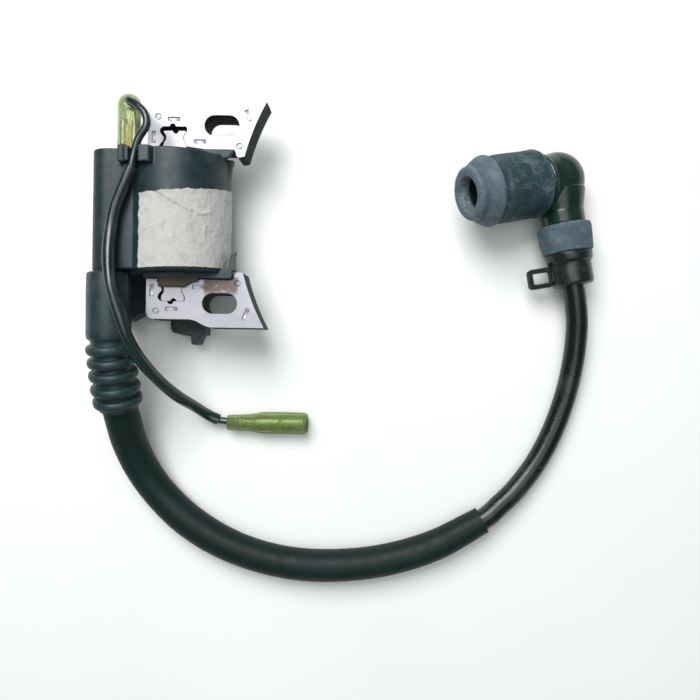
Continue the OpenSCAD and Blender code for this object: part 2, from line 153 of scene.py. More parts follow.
class Finish:
    """A material's node tree, with short names for the nodes that the finishes share."""

    def __init__(self, name, roughness=0.5, metallic=0.0, **sockets):
        self.material = bpy.data.materials.new(name)
        self.material.use_nodes = True
        self.nodes = self.material.node_tree.nodes
        self.links = self.material.node_tree.links
        self.shader = self.nodes["Principled BSDF"]
        self.shader.inputs["Roughness"].default_value = roughness
        self.shader.inputs["Metallic"].default_value = metallic
        for socket, value in sockets.items():
            self.shader.inputs[socket.replace("_", " ")].default_value = value
        self.place = self.nodes.new("ShaderNodeTexCoord").outputs["Object"]
        self.normal = None

    def join(self, value, socket):
        """Links value to a socket if it is one, or else sets it."""
        if isinstance(value, bpy.types.NodeSocket):
            self.links.new(value, socket)
        else:
            socket.default_value = value

    def stretched(self, scale):
        """The object's coordinates, scaled along each axis."""
        node = self.nodes.new("ShaderNodeMapping")
        node.inputs["Scale"].default_value = scale
        self.links.new(self.place, node.inputs["Vector"])
        return node.outputs["Vector"]

    def noise(self, size_mm, detail=4, rough=0.6, where=None, distortion=0.0):
        """Noise whose features are about size_mm across."""
        node = self.nodes.new("ShaderNodeTexNoise")
        node.inputs["Scale"].default_value = 1 / (size_mm * MM)
        node.inputs["Detail"].default_value = detail
        node.inputs["Roughness"].default_value = rough
        node.inputs["Distortion"].default_value = distortion
        self.links.new(where or self.place, node.inputs["Vector"])
        return node.outputs["Fac"]

    def ramp(self, value, low, high, out_low=0.0, out_high=1.0):
        """Value between low and high, stretched to run from out_low to out_high."""
        node = self.nodes.new("ShaderNodeMapRange")
        node.inputs["From Min"].default_value = low
        node.inputs["From Max"].default_value = high
        node.inputs["To Min"].default_value = out_low
        node.inputs["To Max"].default_value = out_high
        self.join(value, node.inputs["Value"])
        return node.outputs["Result"]

    def maths(self, operation, a, b=0.0):
        node = self.nodes.new("ShaderNodeMath")
        node.operation = operation
        self.join(a, node.inputs[0])
        self.join(b, node.inputs[1])
        return node.outputs["Value"]

    def product(self, a, b):
        return self.maths("MULTIPLY", a, b)

    def vectors(self, operation, a, b=None):
        """Vector maths on one or two vectors."""
        node = self.nodes.new("ShaderNodeVectorMath")
        node.operation = operation
        self.join(a, node.inputs[0])
        if b is not None:
            self.join(b, node.inputs[1])
        return node.outputs["Value" if operation in ("DOT_PRODUCT", "LENGTH") else "Vector"]

    def mix(self, factor, a, b):
        """Colour a where factor is 0 and b where it is 1."""
        node = self.nodes.new("ShaderNodeMix")
        node.data_type = "RGBA"
        self.join(factor, node.inputs["Factor"])
        self.join(linear(a) if isinstance(a, tuple) else a, node.inputs["A"])
        self.join(linear(b) if isinstance(b, tuple) else b, node.inputs["B"])
        return node.outputs["Result"]

    def axis(self, index):
        """One of the object's coordinates, in metres."""
        node = self.nodes.new("ShaderNodeSeparateXYZ")
        self.links.new(self.place, node.inputs["Vector"])
        return node.outputs[index]

    def edges(self, low=0.52, high=0.6):
        """Where the surface is sharply convex."""
        return self.ramp(self.nodes.new("ShaderNodeNewGeometry").outputs["Pointiness"], low, high)

    def colour(self, value):
        self.join(linear(value) if isinstance(value, tuple) else value, self.shader.inputs["Base Color"])
        return self

    def rough(self, value):
        self.join(value, self.shader.inputs["Roughness"])
        return self

    def bump(self, height, depth_mm, strength=1.0):
        """Adds one more layer of relief."""
        node = self.nodes.new("ShaderNodeBump")
        node.inputs["Distance"].default_value = depth_mm * MM
        node.inputs["Strength"].default_value = strength
        self.join(height, node.inputs["Height"])
        if self.normal:
            self.links.new(self.normal, node.inputs["Normal"])
        self.normal = node.outputs["Normal"]
        self.links.new(self.normal, self.shader.inputs["Normal"])
        return self


def moulded_finish(name, base, scuffed, roughness, dust=0.25, grain=0.25, grain_depth=0.02, edges=0.35,
                   sheen=0.4):
    """Moulded plastic or rubber: fine grain, mottling, dust and paler, rubbed edges."""
    f = Finish(name, roughness, Specular_IOR_Level=sheen)
    mottle = f.ramp(f.noise(6), 0.35, 0.7)
    specks = f.ramp(f.noise(0.5, 2), 0.62, 0.74, 0, dust)
    patches = f.ramp(f.noise(11, 5, 0.65), 0.52, 0.75, 0, dust)
    paler = f.maths("MAXIMUM", f.product(specks, mottle), patches)
    worn = f.product(f.edges(), f.ramp(f.noise(1.5), 0.35, 0.65, 0, edges))
    darker = tuple(0.8 * c for c in base)
    colour = f.mix(mottle, darker, base)
    f.colour(f.mix(f.maths("MAXIMUM", paler, worn), colour, scuffed))
    f.rough(f.ramp(f.noise(3), 0.3, 0.7, roughness - 0.07, roughness + 0.1))
    f.bump(f.noise(grain, 3), grain_depth)
    f.bump(f.noise(4, 2), 0.06, 0.6)
    return f.material


def core_finish():
    """Rolled electrical steel, lightly rusted beside the lower bolt slot and along its edges, with painted
    shade darkening the lower leg.
    """
    f = Finish("core_steel", 0.5, 0.6)
    rolled = f.noise(0.6, 4, 0.6, f.stretched((1, 14, 1)))
    cloudy = f.noise(9, 5)
    clean = f.mix(f.ramp(cloudy, 0.35, 0.7), (0.62, 0.62, 0.645), (0.57, 0.57, 0.6))
    # Painted shade: the steel's colour turns darker towards the lower leg, standing in for the weaker light
    # there.
    shaded_steel = f.mix(f.ramp(cloudy, 0.35, 0.7), (0.6, 0.6, 0.63), (0.55, 0.55, 0.585))
    clean = f.mix(f.ramp(f.axis(1), 0.01, -0.02), clean, shaded_steel)
    clean = f.mix(f.ramp(rolled, 0.4, 0.75, 0, 0.3), clean, (0.76, 0.76, 0.78))
    across = f.product(f.ramp(f.axis(0), -0.0054, -0.0046), f.ramp(f.axis(0), 0.0062, 0.0048))
    along = f.product(f.ramp(f.axis(1), -0.0262, -0.0238), f.ramp(f.axis(1), -0.0195, -0.0205))
    blotch = f.ramp(f.noise(1.7, 6, 0.75), 0.36, 0.46)
    beside_slot = f.product(f.product(across, along), blotch)
    stray = f.ramp(f.noise(3.5, 6, 0.75), 0.66, 0.76, 0, 0.5)
    rust = f.mix(f.noise(0.5, 4), (0.52, 0.46, 0.45), (0.40, 0.32, 0.29))
    rusted = f.maths("MAXIMUM", beside_slot, stray)
    f.colour(f.mix(rusted, clean, rust))
    f.join(f.ramp(rusted, 0, 1, 0.6, 0.1), f.shader.inputs["Metallic"])
    f.rough(f.ramp(f.maths("ADD", f.product(rolled, 0.5), rusted), 0.2, 1.2, 0.4, 0.85))
    f.bump(rolled, 0.01)
    f.bump(f.product(rusted, f.noise(0.3, 4)), 0.05)
    return f.material


def cut_edge_finish():
    """The sheared edges of the laminations, coloured near-black green as painted shade on the stack's side
    walls.
    """
    f = Finish("core_edge", 0.7, Specular_IOR_Level=0.25)
    streaks = f.noise(0.5, 4, 0.6, f.stretched((1, 1, 6)))
    # Painted shade: the side walls' dark green stands for the shade on them, with paler streaks over it.
    shaded_edge = f.mix(f.ramp(f.noise(4), 0.4, 0.65), (0.035, 0.12, 0.075), (0.07, 0.13, 0.09))
    f.colour(f.mix(f.ramp(streaks, 0.55, 0.8, 0, 0.35), shaded_edge, (0.18, 0.22, 0.20)))
    f.bump(streaks, 0.03)
    return f.material


def metal_finish(name, base, tarnish, roughness=0.35):
    f = Finish(name, roughness, 0.9)
    f.colour(f.mix(f.ramp(f.noise(2.5, 5), 0.45, 0.72), base, tarnish))
    f.rough(f.ramp(f.noise(1.2), 0.3, 0.7, roughness - 0.08, roughness + 0.15))
    f.bump(f.noise(0.25, 3), 0.01)
    return f.material


def clear_finish(name, light, deep, clear):
    """Clear yellow-green vinyl, a little clouded."""
    f = Finish(name, 0.12, IOR=1.14, Transmission_Weight=clear)
    tint = f.mix(f.ramp(f.noise(9, 3), 0.35, 0.7), light, deep)
    f.colour(f.mix(f.ramp(f.noise(0.7, 3), 0.66, 0.78, 0, 0.4), tint, (0.86, 0.88, 0.76)))
    f.rough(f.ramp(f.noise(2.5), 0.3, 0.7, 0.06, 0.2))
    f.bump(f.noise(3, 2), 0.05, 0.5)
    return f.material


def chalky_finish(name, shade, light, wrinkled):
    """The cap's rubber: matt slate, chalky and rubbed where the nose has been handled, with painted shadow
    deep in its bore.
    """
    f = Finish(name, 0.6, Specular_IOR_Level=0.35)
    reach = f.maths("SUBTRACT", f.vectors("DOT_PRODUCT", f.place, NOSE_AXIS), CAP_AT.dot(NOSE_AXIS) * MM)
    offset = f.vectors("SUBTRACT", f.place, CAP_AT * MM)
    radial = f.vectors("LENGTH", f.vectors("CROSS_PRODUCT", offset, NOSE_AXIS))
    front = f.ramp(reach, 0.0272, 0.0282)
    body = f.mix(f.ramp(f.noise(7, 4), 0.35, 0.7), shade, light)
    face = f.mix(f.ramp(f.noise(2.5, 5), 0.35, 0.7), (0.25, 0.32, 0.36), (0.35, 0.41, 0.455))
    base = f.mix(f.product(front, f.ramp(f.noise(1.6, 4), 0.2, 0.5, 0.7, 1)), body, face)
    in_mouth = f.ramp(radial, 0.0058, 0.0054)
    # Painted shadow: near-black deep inside the nose's mouth, where the bore lies in shade.
    deep = f.product(in_mouth, f.ramp(reach, 0.0322, 0.0308))
    fold = f.maths("ABSOLUTE", f.maths("SUBTRACT", f.noise(7, 3, 0.55, distortion=1.2), 0.5))
    wrinkle = f.ramp(fold, 0.03, 0, 0, wrinkled)
    cloud = f.ramp(f.noise(4, 7, 0.75, distortion=0.8), 0.48, 0.7, 0, 0.42)
    patchy = f.ramp(f.noise(8, 3), 0.42, 0.6, 0.1, 1)
    chalk = f.product(f.maths("MAXIMUM", wrinkle, cloud), patchy)
    chalk = f.product(chalk, f.ramp(front, 0, 1, 1, 0.5))
    rubbed = f.product(f.edges(0.505, 0.53), f.ramp(f.noise(1.1, 4), 0.38, 0.6, 0, 0.55))
    chalked = f.mix(f.maths("MAXIMUM", chalk, rubbed), base, (0.56, 0.62, 0.64))
    # The painted bore shadow goes on top of everything else.
    f.colour(f.mix(deep, chalked, (0.03, 0.07, 0.065)))
    f.rough(f.ramp(f.noise(3), 0.3, 0.7, 0.5, 0.72))
    f.bump(f.noise(0.3, 4), 0.03)
    f.bump(f.noise(1.7, 3, 0.5, f.stretched((1.6, 0.5, 1)), 1.0), 0.12, 0.6)
    return f.material


def vinyl_finish(name, base, scuffed, roughness, sheen=0.45):
    """Extruded wire covering: smooth, with scuffs that run along it."""
    f = Finish(name, roughness, Specular_IOR_Level=sheen)
    scuff = f.ramp(f.noise(1.6, 6, 0.7, distortion=1.2), 0.6, 0.72, 0, 0.5)
    chalk = f.ramp(f.noise(14, 4), 0.5, 0.8, 0, 0.35)
    f.colour(f.mix(f.maths("MAXIMUM", scuff, chalk), base, scuffed))
    f.rough(f.ramp(f.noise(2.4), 0.3, 0.7, roughness - 0.06, roughness + 0.12))
    f.bump(f.noise(3, 2), 0.05, 0.6)
    f.bump(f.noise(0.25, 2), 0.008)
    return f.material


def paper_finish():
    """Aged label paper: fibres, creases, grey grime, and painted shade darkening the folds."""
    f = Finish("label_paper", 0.8, Specular_IOR_Level=0.25)
    fibre = f.noise(0.25, 5, 0.7)
    grime = f.ramp(f.noise(5, 6, 0.7, distortion=0.8), 0.5, 0.74, 0, 0.55)
    fold = f.maths("ABSOLUTE", f.maths("SUBTRACT", f.noise(7, 2, 0.5, f.stretched((1, 3, 1)), 1.5), 0.5))
    # Painted shade: thin lines along the noise folds are darkened as if a crease shaded them.
    crease = f.ramp(fold, 0.012, 0)
    clean = f.mix(f.ramp(fibre, 0.3, 0.7), (0.70, 0.70, 0.69), (0.77, 0.77, 0.76))
    soiled = f.mix(grime, clean, (0.54, 0.55, 0.52))
    f.colour(f.mix(f.product(crease, 0.2), soiled, (0.5, 0.51, 0.47)))
    f.bump(fibre, 0.02)
    f.bump(f.noise(4, 3), 0.12, 0.6)
    return f.material


def floor_finish():
    """Pale plain bench."""
    f = Finish("floor_white", 0.6)
    f.colour(f.mix(f.ramp(f.noise(120, 3), 0.3, 0.7), (0.95, 0.955, 0.95), (0.93, 0.94, 0.935)))
    return f.material


SCUFF_GREY = (0.36, 0.40, 0.40)
FINISHES = {
    "core_steel": core_finish(),
    "core_edge": cut_edge_finish(),
    "housing_plastic": moulded_finish("housing_plastic", (0.1, 0.195, 0.215), SCUFF_GREY, 0.42),
    "dark_plastic": moulded_finish("dark_plastic", (0.15, 0.16, 0.16), SCUFF_GREY, 0.5),
    "bobbin_plastic": moulded_finish("bobbin_plastic", (0.27, 0.24, 0.17), (0.42, 0.38, 0.30), 0.5),
    "potting_resin": moulded_finish("potting_resin", (0.26, 0.18, 0.12), (0.4, 0.34, 0.28), 0.3),
    "winding_copper": metal_finish("winding_copper", (0.72, 0.42, 0.24), (0.5, 0.26, 0.14)),
    "terminal_brass": metal_finish("terminal_brass", (0.80, 0.68, 0.38), (0.55, 0.45, 0.25)),
    "terminal_steel": metal_finish("terminal_steel", (0.86, 0.86, 0.84), (0.6, 0.6, 0.56), 0.3),
    "green_vinyl": clear_finish("green_vinyl", (0.80, 0.82, 0.72), (0.74, 0.78, 0.62), 0.82),
    "bullet_vinyl": clear_finish("bullet_vinyl", (0.69, 0.76, 0.56), (0.64, 0.725, 0.485), 0.8),
    "wire_vinyl": vinyl_finish("wire_vinyl", (0.04, 0.14, 0.13), SCUFF_GREY, 0.17, 0.7),
    "lead_rubber": vinyl_finish("lead_rubber", (0.02, 0.075, 0.07), SCUFF_GREY, 0.22),
    "sleeve_rubber": vinyl_finish("sleeve_rubber", (0.06, 0.14, 0.13), (0.15, 0.22, 0.22), 0.46, 0.2),
    "boot_rubber": moulded_finish("boot_rubber", (0.12, 0.215, 0.228), SCUFF_GREY, 0.42),
    "cap_plastic": moulded_finish("cap_plastic", (0.06, 0.165, 0.14), SCUFF_GREY, 0.2, dust=0.12, grain=0.4,
                                  grain_depth=0.008, sheen=0.5),
    "seal_rubber": moulded_finish("seal_rubber", (0.05, 0.125, 0.115), SCUFF_GREY, 0.28, dust=0.3, grain=0.4,
                                  grain_depth=0.01, edges=0.6, sheen=0.5),
    "tab_rubber": moulded_finish("tab_rubber", (0.03, 0.09, 0.08), (0.2, 0.25, 0.25), 0.6, 0.2, sheen=0.2),
    "cap_rubber": chalky_finish("cap_rubber", (0.09, 0.19, 0.22), (0.15, 0.24, 0.275), 0.22),
    "collar_rubber": chalky_finish("collar_rubber", (0.22, 0.295, 0.345), (0.29, 0.36, 0.41), 0),
    "resistor_ceramic": moulded_finish("resistor_ceramic", (0.78, 0.75, 0.69), (0.6, 0.57, 0.52), 0.5),
    "label_paper": paper_finish(),
}

# ---- mesh helpers ----


def link(name, mesh, slot, body, nodes=()):
    """A finished piece: its mesh, its finish, its body and the CAD nodes that it stands for."""
    piece = bpy.data.objects.new(name, mesh)
    bpy.context.collection.objects.link(piece)
    piece.data.materials.clear()
    piece.data.materials.append(FINISHES[slot])
    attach(piece, body)
    if nodes:
        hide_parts(*nodes)
    return piece


def crisp(mesh, degrees=38):
    """Smooth shading, with edges sharper than this angle kept."""
    work = bmesh.new()
    work.from_mesh(mesh)
    bmesh.ops.recalc_face_normals(work, faces=work.faces)
    for face in work.faces:
        face.smooth = True
    for edge in work.edges:
        edge.smooth = len(edge.link_faces) == 2 and edge.calc_face_angle(0) < radians(degrees)
    work.to_mesh(mesh)
    work.free()
    return mesh


def to_mesh(work, name):
    """A bmesh in millimetres as a mesh in metres."""
    bmesh.ops.scale(work, vec=(MM, MM, MM), verts=work.verts)
    bmesh.ops.recalc_face_normals(work, faces=work.faces)
    mesh = bpy.data.meshes.new(name)
    work.to_mesh(mesh)
    work.free()
    return mesh


def rounded(points, radius, steps=4):
    """A closed outline with each corner turned into a small arc."""
    out = []
    count = len(points)
    for i, point in enumerate(points):
        corner = Vector(point)
        before = Vector(points[i - 1]) - corner
        after = Vector(points[(i + 1) % count]) - corner
        reach = min(radius, before.length * 0.45, after.length * 0.45)
        start = corner + before.normalized() * reach
        end = corner + after.normalized() * reach
        for k in range(steps + 1):
            t = k / steps
            out.append((1 - t) ** 2 * start + 2 * t * (1 - t) * corner + t ** 2 * end)
    return out


def add_loops(work, loops, closed=False):
    """Skins rings of points; ends are capped unless the last ring joins the first."""
    rings = [[work.verts.new(p) for p in loop] for loop in loops]
    count = len(rings[0])
    for a, b in zip(rings, rings[1:] + (rings[:1] if closed else [])):
        for k in range(count):
            work.faces.new((a[k], a[(k + 1) % count], b[(k + 1) % count], b[k]))
    if not closed:
        work.faces.new(rings[0])
        work.faces.new(rings[-1])


def add_box(work, low, high):
    """A box between two corners."""
    low, high = Vector(low), Vector(high)
    bmesh.ops.create_cube(work, size=1, matrix=Matrix.Translation((low + high) / 2)
                          @ Matrix.Diagonal((*(high - low), 1)))


def add_rod(work, start, end, r0, r1=None, sides=64):
    """A cylinder or cone between two points."""
    start, end = Vector(start), Vector(end)
    turn = (end - start).to_track_quat("Z", "Y").to_matrix().to_4x4()
    bmesh.ops.create_cone(work, cap_ends=True, segments=sides, radius1=r0, radius2=r0 if r1 is None else r1,
                          depth=(end - start).length, matrix=Matrix.Translation((start + end) / 2) @ turn)


def along_y(centre, y0, y1):
    """Two ends of a line along Y, past a centre (x, z)."""
    return (centre[0], y0, centre[1]), (centre[0], y1, centre[1])


def along_x(centre, x0, x1):
    """Two ends of a line along X, past a centre (y, z)."""
    return (x0, *centre), (x1, *centre)


def on_axis(place, start, end):
    """Two points on the Z axis of a place."""
    return place @ Vector((0, 0, start)), place @ Vector((0, 0, end))


def rod_cutter(ends, radius, sides=64):
    return lambda work: add_rod(work, *ends, radius, sides=sides)


def box_cutter(low, high):
    return lambda work: add_box(work, low, high)


def ripple(x, y, z):
    """Smooth noise at a place."""
    return noise.noise(Vector((x, y, z)))


def skin_noise(scale, angle, along):
    """Smooth noise over the surface of a tube."""
    return ripple(scale * cos(angle), scale * sin(angle), along)


def add_ball(work, centre, radius):
    bmesh.ops.create_uvsphere(work, u_segments=48, v_segments=32, radius=radius,
                              matrix=Matrix.Translation(centre))


def add_prism(work, outline, z0, z1, place=None):
    """An outline in XY, from z0 to z1, moved by a matrix."""
    place = place or Matrix()
    add_loops(work, [[place @ Vector((x, y, z)) for x, y in outline] for z in (z0, z1)])


def bake(source, modifiers):
    """The mesh that a stack of modifiers makes of a mesh. Each modifier is (type, settings)."""
    holder = bpy.data.objects.new("work", source)
    bpy.context.collection.objects.link(holder)
    for kind, settings in modifiers:
        modifier = holder.modifiers.new(kind, kind)
        for key, value in settings.items():
            setattr(modifier, key, value)
    graph = bpy.context.evaluated_depsgraph_get()
    result = bpy.data.meshes.new_from_object(holder.evaluated_get(graph))
    bpy.data.objects.remove(holder)
    return result


def carve(mesh, cutters):
    """The mesh with closed cutters, drawn by functions that fill a bmesh, taken away."""
    for draw in cutters:
        work = bmesh.new()
        draw(work)
        tool = bpy.data.objects.new("tool", to_mesh(work, "tool"))
        bpy.context.collection.objects.link(tool)
        mesh = bake(mesh, [("BOOLEAN", {"operation": "DIFFERENCE", "object": tool, "solver": "EXACT"})])
        bpy.data.objects.remove(tool)
    return mesh


def melt(draw, name, voxel=0.3, smooth=4, decimate=None):
    """Closed shapes drawn into one bmesh, fused into one moulding with softened edges."""
    work = bmesh.new()
    draw(work)
    stack = [("REMESH", {"mode": "VOXEL", "voxel_size": voxel * MM}),
             ("SMOOTH", {"factor": 0.5, "iterations": smooth})]
    if decimate:
        stack.append(("DECIMATE", {"ratio": decimate}))
    return bake(to_mesh(work, name), stack)


def lathe(name, outline, place, sides=96, wobble=None):
    """A closed outline of (distance along, radius), spun about the Z axis of a place."""
    work = bmesh.new()
    loops = []
    for along, radius in outline:
        loop = []
        for k in range(sides):
            angle = 2 * pi * k / sides
            r = radius + (wobble(along, radius, angle) if wobble else 0)
            loop.append(place @ Vector((r * cos(angle), r * sin(angle), along)))
        loops.append(loop)
    add_loops(work, loops, closed=True)
    return crisp(to_mesh(work, name))


def smooth_route(points, per_span=6):
    """Points of a smooth curve through a route."""
    points = [Vector(p) for p in points]
    padded = [2 * points[0] - points[1]] + points + [2 * points[-1] - points[-2]]
    out = []
    for a, b, c, d in zip(padded, padded[1:], padded[2:], padded[3:]):
        for k in range(per_span):
            t = k / per_span
            out.append(0.5 * (2 * b + (c - a) * t + (2 * a - 5 * b + 4 * c - d) * t ** 2
                              + (3 * b - a - 3 * c + d) * t ** 3))
    return out + [points[-1]]


def frames_along(path, hint=(0, 0, 1)):
    """(point, side, up, distance) along a path, without twist."""
    out = []
    side = None
    distance = 0
    for i, point in enumerate(path):
        along = (path[min(i + 1, len(path) - 1)] - path[max(i - 1, 0)]).normalized()
        if side is None:
            side = along.cross(Vector(hint)).normalized()
        side = (side - along * side.dot(along)).normalized()
        if i:
            distance += (point - path[i - 1]).length
        out.append((point, side, side.cross(along), distance))
    return out


def sweep(name, path, radius, inner=None, sides=24, hint=(0, 0, 1)):
    """A cord or tube along a path. radius and inner are functions of (distance, angle)."""
    work = bmesh.new()
    stations = frames_along(path, hint)

    def loop(station, size):
        point, side, up, distance = station
        angles = [2 * pi * k / sides for k in range(sides)]
        return [point + (side * cos(a) + up * sin(a)) * size(distance, a) for a in angles]

    loops = [loop(s, radius) for s in stations]
    if inner:
        loops += [loop(s, inner) for s in reversed(stations)]
    add_loops(work, loops, closed=bool(inner))
    return crisp(to_mesh(work, name))


# ---- high-tension lead and stop wire ----

lead_path = smooth_route(LEAD_ROUTE)
lead = link("lead", sweep("lead", lead_path, lambda s, a: LEAD_R, sides=32),
            "lead_rubber", "coil", ["ht_lead"])


def sleeve_radius(distance, angle):
    """The loose sleeve: a little oval and wavy, as tubing is."""
    shrink = max(0, (distance - 118) / 38)
    waves = 0.08 * sin(2 * angle + distance / 23) + 0.06 * sin(distance / 7)
    return 5.5 + waves - 0.9 * shrink ** 1.5


link("lead_tubing", sweep("lead_tubing", smooth_route(LEAD_ROUTE[SLEEVE]), sleeve_radius,
                          lambda s, a: LEAD_R + 0.4, sides=48),
     "sleeve_rubber", "coil", ["lead_sleeve"])

wire_path = smooth_route(WIRE_ROUTE)
wire = link("wire", sweep("wire", wire_path, lambda s, a: WIRE_R, sides=20, hint=WIRE_HINT),
            "wire_vinyl", "coil", ["stop_wire"])


def tube_radius(distance, angle):
    """The thin tube: slightly lumpy where it has been bent."""
    return 1.9 + 0.04 * sin(3 * angle + distance / 5) + 0.05 * sin(distance / 3.1)


link("wire_tubing", sweep("wire_tubing", smooth_route(WIRE_ROUTE[TUBE]), tube_radius,
                          lambda s, a: WIRE_R + 0.3, sides=28, hint=WIRE_HINT),
     "wire_vinyl", "coil", ["stop_wire_tube"])

# ---- core ----


def mirrored(points):
    return [(x, -y) for x, y in reversed(points)]


def arc(centre, radius, start, end, steps):
    """Points of an arc, angles in degrees."""
    out = []
    for k in range(steps + 1):
        angle = radians(start + (end - start) * k / steps)
        out.append((centre[0] + radius * cos(angle), centre[1] + radius * sin(angle)))
    return out


def leg_outline():
    """Upper leg with its pole shoe and the open pocket that takes the bar's waisted end."""
    pole = []
    for k in range(13):
        y = 36.1 - (36.1 - 18.6) * k / 12
        pole.append((80 - sqrt(75 ** 2 - y ** 2), y))
    inner = [(5.4, 18.2), (4.8, 18.7), (4.5, 19.6), (4.2, 20.5), (3.6, LEG_Y), (-5.5, LEG_Y)]
    pocket_right = [(-11.22, 21.6), (-11.5, 22.8), (-12.1, 23.8), (-12.05, 24.9), (-11.2, 26.2),
                    (-11.1, 27.4), (-11.5, 27.9)]
    pocket_left = [(-18.6, 27.9), (-19.5, 27.3), (-19.8, 26.4), (-19.3, 25.4), (-18.5, 24.5), (-18.6, 23.4),
                   (-19.5, 22.4), (-20, 21.6)]
    left = [(-20, LEG_Y), (-23.5, LEG_Y), (-23.5, 31.6), (-22.9, 33), (-21.5, 33.6), (-9.5, 33.6),
            (-7.6, 34.1), (-4.8, 35.6), (-3, 36.1)]
    return pole + inner + pocket_right + arc((-15.7, 27.9), 0.95, 0, 180, 8) + pocket_left + left


def bar_outline():
    """Centre bar: both ends waisted, with half of the round notch that the pocket completes."""
    def end(reach):
        side = [(18.7, 21.6), (18.4, 22.8), (17.75, 23.8), (17.8, 24.9), (18.55, 26), (18.7, reach - 0.4),
                (18.2, reach)]
        left = [(-x, y) for x, y in side]
        right = [(x - 30, y) for x, y in reversed(side)]
        notch = arc((-14.7, reach), 0.9, 180, 360, 8)
        return left + notch + right
    return end(26.5) + mirrored(end(27.8))


def slot_outline():
    return arc((2.3, 28.4), 3.3, -90, 90, 12) + arc((-2.3, 28.4), 3.3, 90, 270, 12)


def tilted_box(centre, size, degrees):
    """A rectangle turned about its centre."""
    turn = Matrix.Rotation(radians(degrees), 2)
    half = Vector(size) / 2
    corners = [(-half.x, -half.y), (half.x, -half.y), (half.x, half.y), (-half.x, half.y)]
    return [tuple(Vector(centre) + turn @ Vector(c)) for c in corners]


# The interlocks that hold the laminations together: centre, size and angle of each.
INTERLOCKS = [((-15.3, 30.3), (3.8, 1.3), 0), ((-6.9, 23.2), (3.8, 1.3), 0), ((-21.7, 24.5), (1.3, 3.8), 0),
              ((8.4, 31.7), (1.3, 3.8), 21)]
# Round punch marks: centres.
DIMPLES = [(-20.3, 31), (5.7, 21.9)]


BURR = 0.03


def sheet_mesh(outline, holes, z, thickness, shift):
    """One lamination: an outline with holes, slightly burred edges, at height z."""
    curve = bpy.data.curves.new("sheet", "CURVE")
    curve.dimensions = "2D"
    curve.fill_mode = "BOTH"
    curve.extrude = (thickness / 2 - BURR) * MM
    curve.bevel_depth = BURR * MM
    curve.bevel_resolution = 1
    curve.offset = -BURR * MM
    for points in [outline] + holes:
        spline = curve.splines.new("POLY")
        spline.points.add(len(points) - 1)
        for target, (x, y) in zip(spline.points, points):
            target.co = ((x + shift[0]) * MM, (y + shift[1]) * MM, 0, 1)
        spline.use_cyclic_u = True
    holder = bpy.data.objects.new("sheet", curve)
    bpy.context.collection.objects.link(holder)
    graph = bpy.context.evaluated_depsgraph_get()
    mesh = bpy.data.meshes.new_from_object(holder.evaluated_get(graph))
    bpy.data.objects.remove(holder)
    mesh.transform(Matrix.Translation((0, 0, z * MM)))
    return mesh


def lamination_stack(name, outline, holes, marks, seed, node):
    """Twenty punched sheets, the outer ones with their interlock marks showing."""
    dice = random.Random(seed)
    sheets = 20
    pitch = STACK_T / sheets
    work = bmesh.new()
    for i in range(sheets):
        shift = (dice.uniform(-0.04, 0.04), dice.uniform(-0.04, 0.04))
        showing = marks if i in (0, sheets - 1) else []
        mesh = sheet_mesh(outline, holes + showing, (i + 0.5) * pitch, pitch - 0.03, shift)
        work.from_mesh(mesh)
        bpy.data.meshes.remove(mesh)
    mesh = bpy.data.meshes.new(name)
    work.to_mesh(mesh)
    work.free()
    piece = link(name, crisp(mesh), "core_steel", "coil", [node])
    # The side walls get core_edge, whose near-black colour is painted shade.
    piece.data.materials.append(FINISHES["core_edge"])
    for face in piece.data.polygons:
        face.material_index = 1 if abs(face.normal.z) < 0.95 else 0
    return piece


def mark_fillings(name, centres_and_boxes, dimples):
    """The sunk tongues inside the interlocks and the punched discs inside the dimples."""
    work = bmesh.new()
    for centre, size, degrees in centres_and_boxes:
        turn = Matrix.Translation((*centre, 0)) @ Matrix.Rotation(radians(degrees), 4, "Z")
        wide = size[0] > size[1]
        length = max(size) / 2 - 0.3
        half = min(size) / 2 - 0.28
        tongue = [(-length, 9.8), (-length * 0.4, 9.5), (length * 0.4, 9.5), (length, 9.8),
                  (length, 9.0), (-length, 9.0)]
        loops = []
        for side in (-half, half):
            loops.append([turn @ Vector((a, side, z) if wide else (side, a, z)) for a, z in tongue])
        add_loops(work, loops)
    for x, y in dimples:
        add_rod(work, (x, y, 9.3), (x, y, 9.93), 0.76, 0.7, sides=32)
        add_rod(work, (x, y, 9.9), (x, y, 9.97), 0.3, 0.2, sides=24)
    link(name, crisp(to_mesh(work, name)), "core_steel", "coil")


holes = [tilted_box(*mark) for mark in INTERLOCKS]
rings = [arc(centre, 1.0, 0, 345, 23) for centre in DIMPLES]
lamination_stack("core_upper", leg_outline(), [slot_outline()], holes + rings, 3, "core_upper_leg")
lamination_stack("core_lower", mirrored(leg_outline()), [mirrored(slot_outline())],
                 [mirrored(h) for h in holes + rings], 5, "core_lower_leg")
lamination_stack("core_middle", bar_outline(), [], [], 7, "core_bar")
mark_fillings("core_marks_upper", INTERLOCKS, DIMPLES)
mark_fillings("core_marks_lower", [((c[0], -c[1]), size, -turn) for c, size, turn in INTERLOCKS],
              [(x, -y) for x, y in DIMPLES])

# ---- housing ----


